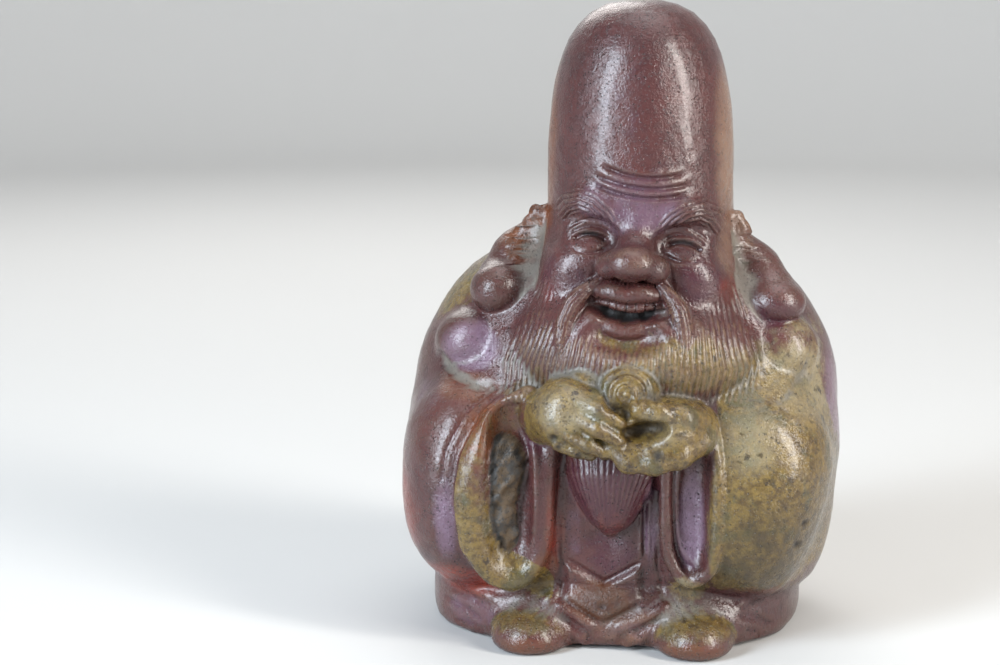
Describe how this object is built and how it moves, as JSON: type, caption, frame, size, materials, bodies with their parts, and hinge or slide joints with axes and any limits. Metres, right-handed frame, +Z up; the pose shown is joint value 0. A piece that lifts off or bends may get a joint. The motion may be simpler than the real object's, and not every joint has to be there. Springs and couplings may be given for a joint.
{
  "type": "fukurokuju figure",
  "caption": "Seated stoneware figure of a laughing bearded old god with a very tall bald head, long-lobed ears and joined hands, on a flat base.",
  "frame": {"origin": "on the flat underside, below the middle of the head and shoulders", "axes": "+Z up along the tall head; the figure faces -Y; +X is to the right as one looks at its face"},
  "size_m": [0.1391, 0.1185, 0.2003],
  "materials": {
    "stoneware": "wood-fired red-brown stoneware with a glossy natural ash glaze in ochre patches"
  },
  "bodies": {
    "root": {"fukurokuju_figure": "stoneware"}
  },
  "joints": []
}
